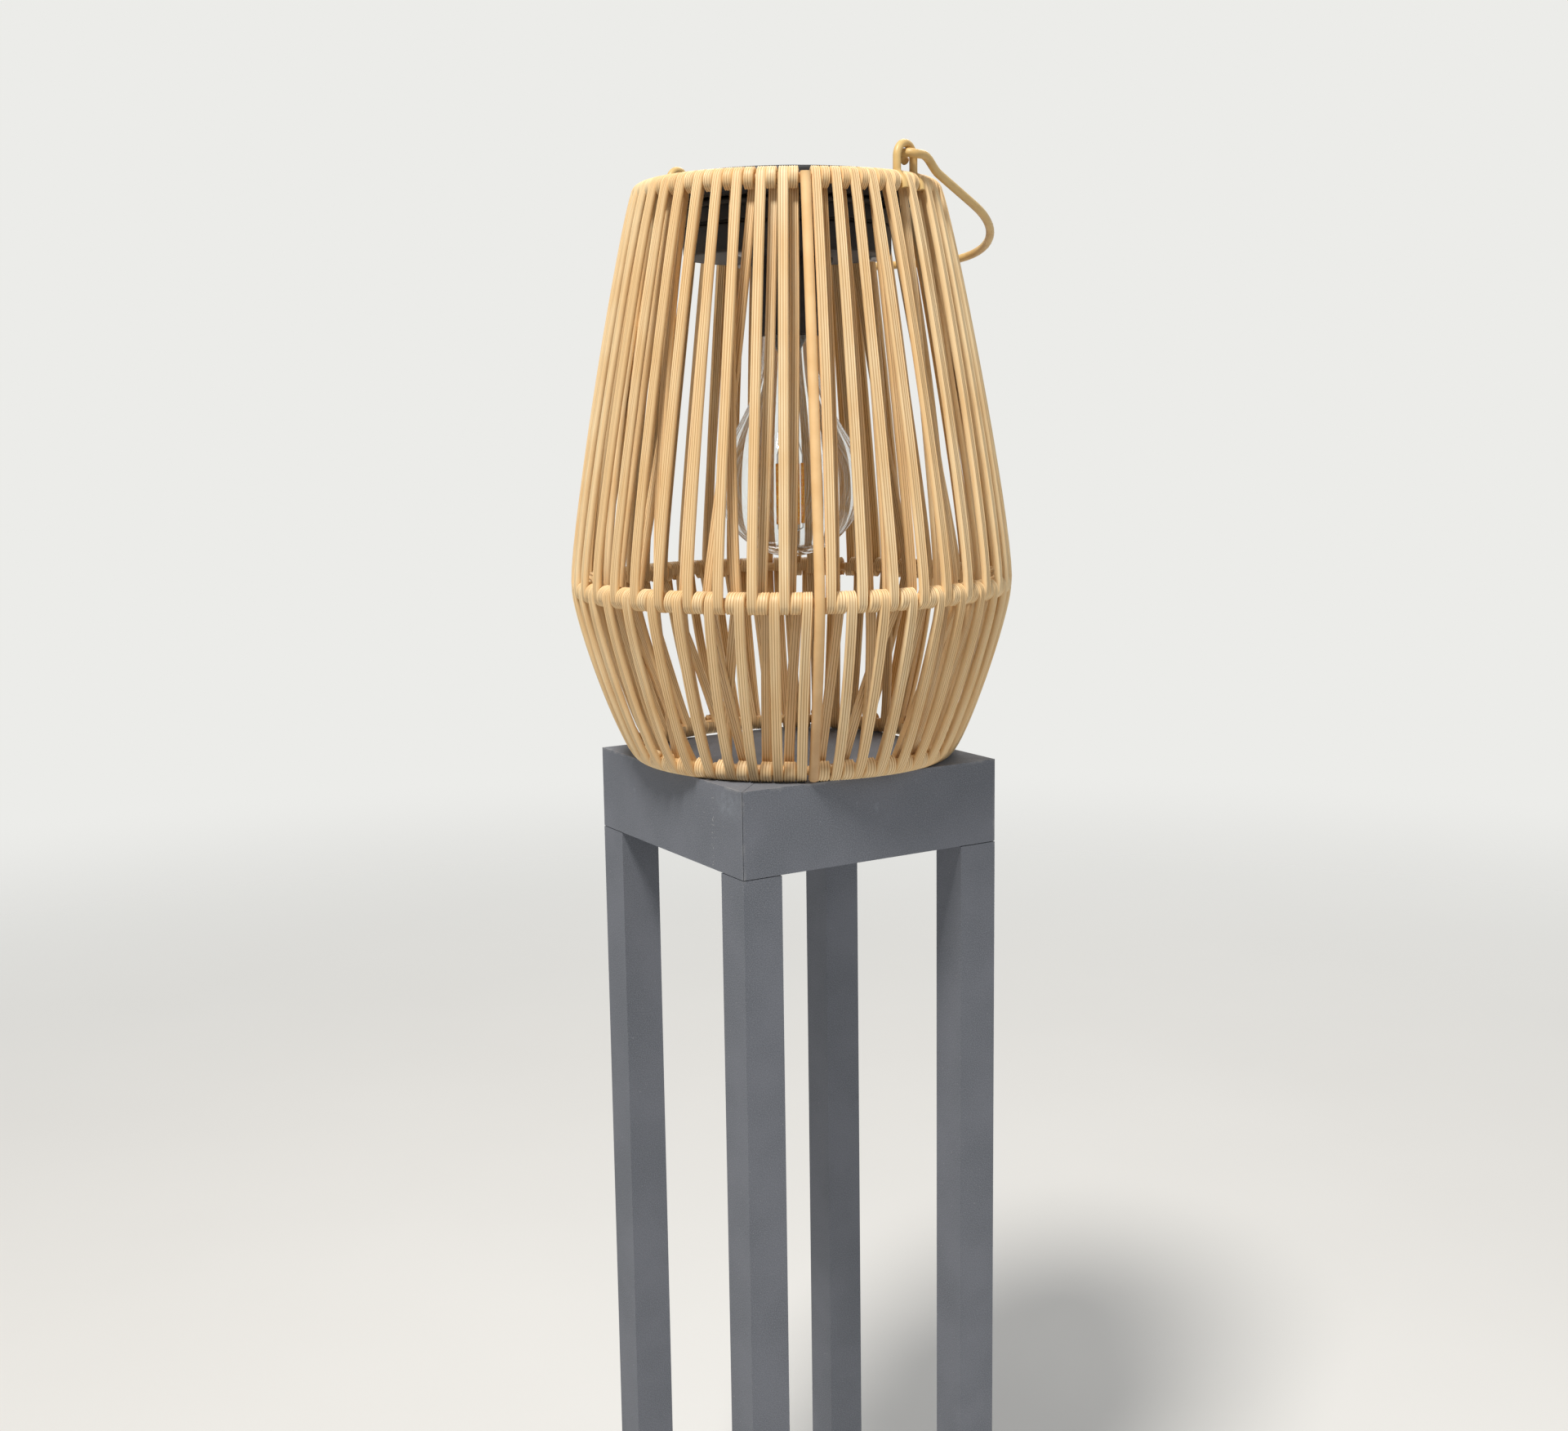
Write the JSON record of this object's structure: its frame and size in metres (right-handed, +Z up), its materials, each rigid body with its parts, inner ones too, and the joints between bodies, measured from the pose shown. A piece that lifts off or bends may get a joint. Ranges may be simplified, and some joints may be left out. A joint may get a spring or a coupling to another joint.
{
  "type": "rattan solar lantern on a stand",
  "caption": "Waisted lantern of wound rattan strands over wire rings, with a swinging wire handle, a lift-out solar lamp and a square metal stand.",
  "frame": {"origin": "on the floor, under the middle of the stand", "axes": "+Z up, X and Y along the sides of the square stand"},
  "size_m": [0.2115, 0.2114, 0.7845],
  "materials": {
    "stand_paint": "fine textured powder coat, matt",
    "foot_plastic": "matt moulded",
    "frame_paint": "satin paint over wire",
    "seat_paint": "black satin paint over wire",
    "rattan": "ribbed extruded strand, satin",
    "handle_paint": "satin paint over wire",
    "unit_plastic": "fine moulded grain",
    "seal_rubber": "soft matt",
    "screw_steel": "zinc plated",
    "panel_glass": "clear resin over dark cells",
    "cell_wrap": "shrink sleeve",
    "contact_metal": "nickel plated strip",
    "board": "solder mask",
    "lead_sleeve": "wire sleeve",
    "cap_metal": "bright drawn",
    "clear_glass": "clear",
    "filament": "phosphor coated"
  },
  "bodies": {
    "stand": {"apron_front": "stand_paint", "apron_back": "stand_paint", "apron_left": "stand_paint", "apron_right": "stand_paint", "leg_front_left": "stand_paint", "leg_front_right": "stand_paint", "leg_back_left": "stand_paint", "leg_back_right": "stand_paint", "foot_caps": "foot_plastic", "corner_connectors": "foot_plastic", "top_pan": "stand_paint"},
    "lantern": {"top_ring": "frame_paint", "waist_ring": "frame_paint", "bottom_ring": "frame_paint", "frame_ribs": "frame_paint", "upper_outer_strands": "rattan", "upper_inner_strands": "rattan", "lower_outer_strands": "rattan", "lower_inner_strands": "rattan", "seat_ring": "seat_paint", "seat_brackets": "seat_paint", "handle_eyes": "handle_paint"},
    "handle": {"bail_handle": "handle_paint"},
    "lamp_unit": {"housing_top": "unit_plastic", "housing_base": "unit_plastic", "housing_seal": "seal_rubber", "housing_screws": "screw_steel", "solar_panel": "panel_glass", "battery": "cell_wrap", "battery_cradle": "unit_plastic", "battery_contacts": "contact_metal", "circuit_board": "board", "lamp_leads": "lead_sleeve", "switch_body": "unit_plastic", "lamp_socket": "unit_plastic", "bulb_cap": "cap_metal", "bulb_glass": "clear_glass", "bulb_stem": "clear_glass", "bulb_filaments": "filament"},
    "switch": {"switch_button": "unit_plastic"}
  },
  "joints": [
    {"name": "lantern_lift", "type": "slide", "parent": "stand", "child": "lantern", "axis": [0, 0, 1], "range_m": [0, 0.15]},
    {"name": "handle_swing", "type": "hinge", "parent": "lantern", "child": "handle", "pos_m": [0, 0, 0.77845], "axis": [0.342, -0.9397, 0], "range_deg": [0, 222]},
    {"name": "lamp_lift", "type": "slide", "parent": "lantern", "child": "lamp_unit", "axis": [0, 0, 1], "range_m": [0, 0.2]},
    {"name": "switch_press", "type": "slide", "parent": "lamp_unit", "child": "switch", "axis": [0, 0, 1], "range_m": [0, 0.0015], "stiffness_N_per_m": 300}
  ]
}
